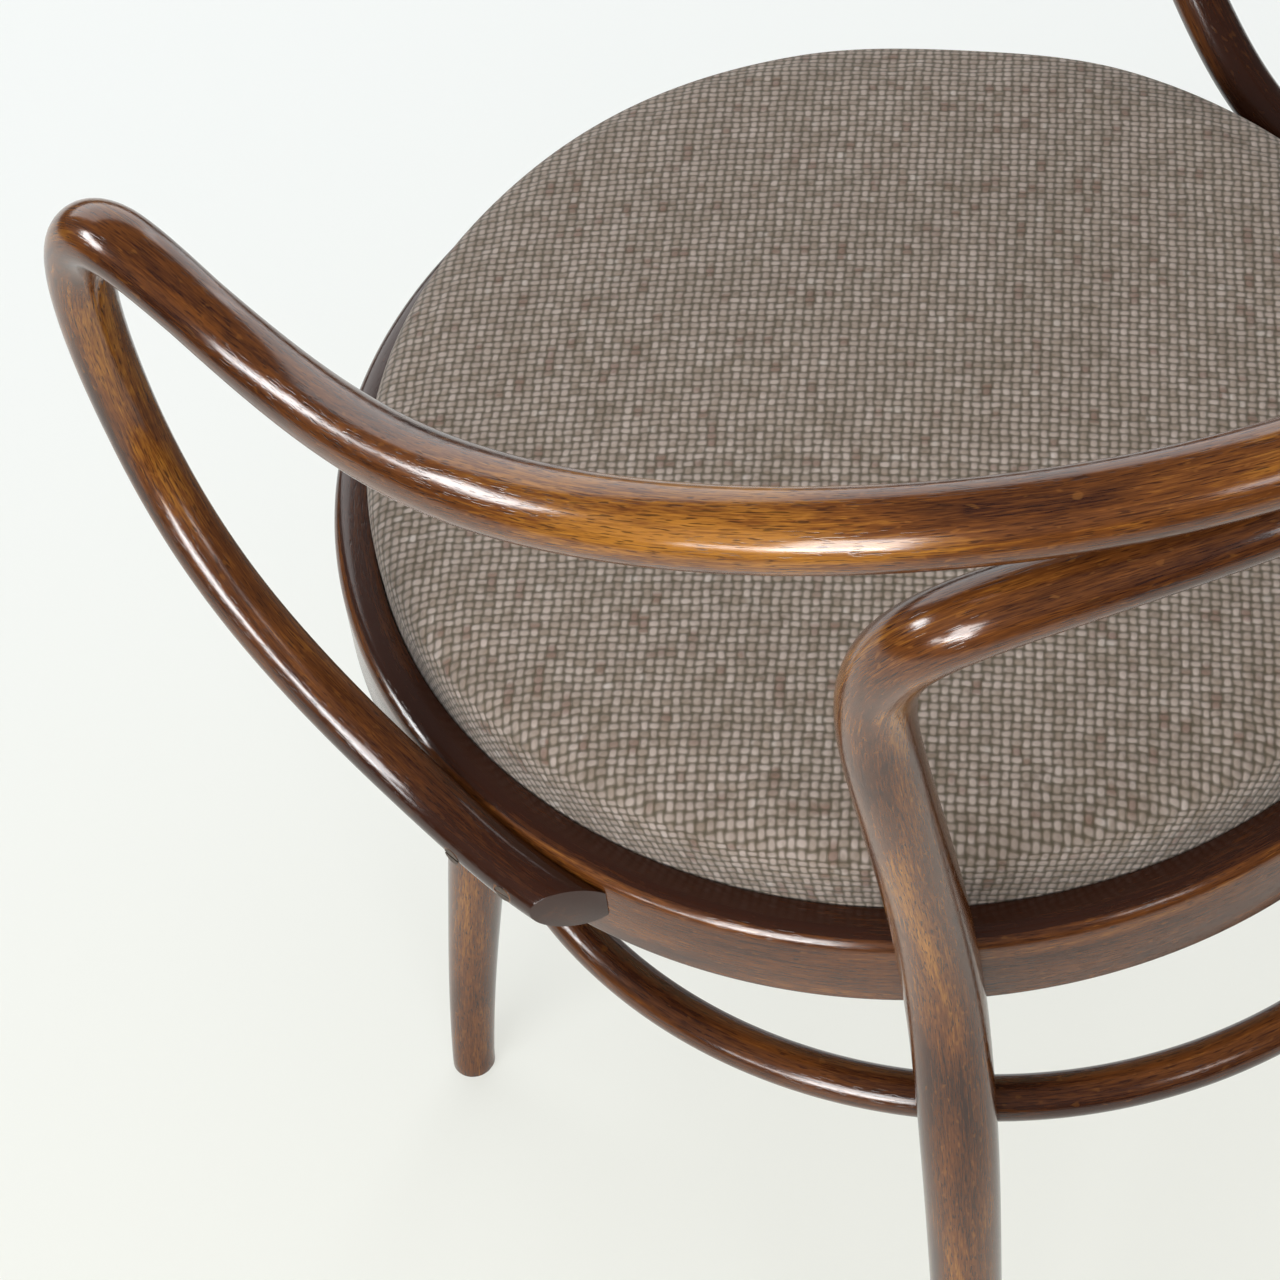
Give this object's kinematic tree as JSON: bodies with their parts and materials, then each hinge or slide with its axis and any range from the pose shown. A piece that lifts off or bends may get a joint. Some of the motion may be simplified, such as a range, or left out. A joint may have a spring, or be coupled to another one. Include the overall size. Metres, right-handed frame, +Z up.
{
  "type": "armchair",
  "caption": "Low-backed bentwood armchair with looped arms, a round seat ring, a woven drop-in pad, tapered legs and a lower hoop.",
  "frame": {"origin": "on the floor, under the middle of the chair's bounding box", "axes": "+Z up, the front of the chair faces -Y, +X is the sitter's left"},
  "size_m": [0.5248, 0.516, 0.7565],
  "materials": {
    "stained_beech": "glossy lacquer",
    "plain_plywood": "bare, sanded",
    "foam_stuffing": "soft open foam",
    "woven_cover": "coarse basket weave, matte",
    "steel_wire": "bright drawn wire",
    "dark_steel": "oiled, slotted heads"
  },
  "bodies": {
    "root": {"top_rail": "stained_beech", "rear_leg_bow": "stained_beech", "seat_ring": "stained_beech", "front_leg_left": "stained_beech", "front_leg_right": "stained_beech", "lower_hoop": "stained_beech", "seat_board": "plain_plywood", "seat_foam": "foam_stuffing", "seat_cover": "woven_cover", "cover_staples": "steel_wire", "arm_screws": "dark_steel", "rear_leg_screws": "dark_steel", "hoop_screws": "dark_steel", "back_rail_screws": "dark_steel", "seat_screws": "dark_steel"}
  },
  "joints": []
}
